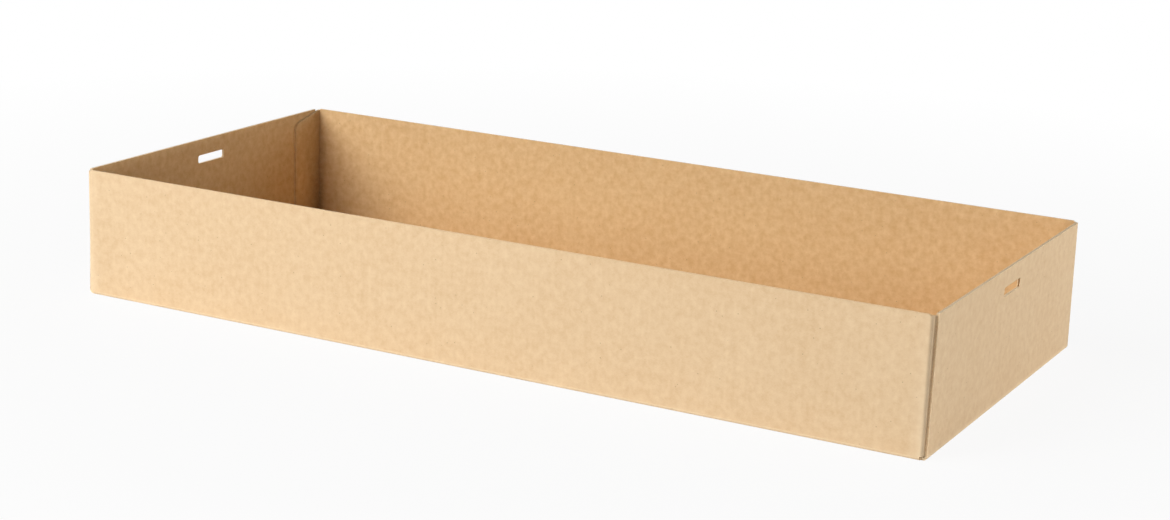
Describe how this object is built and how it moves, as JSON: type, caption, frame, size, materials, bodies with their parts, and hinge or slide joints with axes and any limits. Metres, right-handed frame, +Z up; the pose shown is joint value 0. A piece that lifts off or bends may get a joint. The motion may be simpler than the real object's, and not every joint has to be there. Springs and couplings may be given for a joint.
{
  "type": "cardboard tray",
  "caption": "Open rectangular tray folded from kraft corrugated board, with glued corner tabs and a slot for a lid's tab in each end wall.",
  "frame": {"origin": "middle of the tray's underside, on the surface that it stands on", "axes": "+X along the length, +Y from the front long wall to the back one, +Z up"},
  "size_m": [0.56, 0.252, 0.08],
  "materials": {
    "kraft_board": "matt unbleached kraft liner"
  },
  "bodies": {
    "root": {"tray": "kraft_board"}
  },
  "joints": []
}
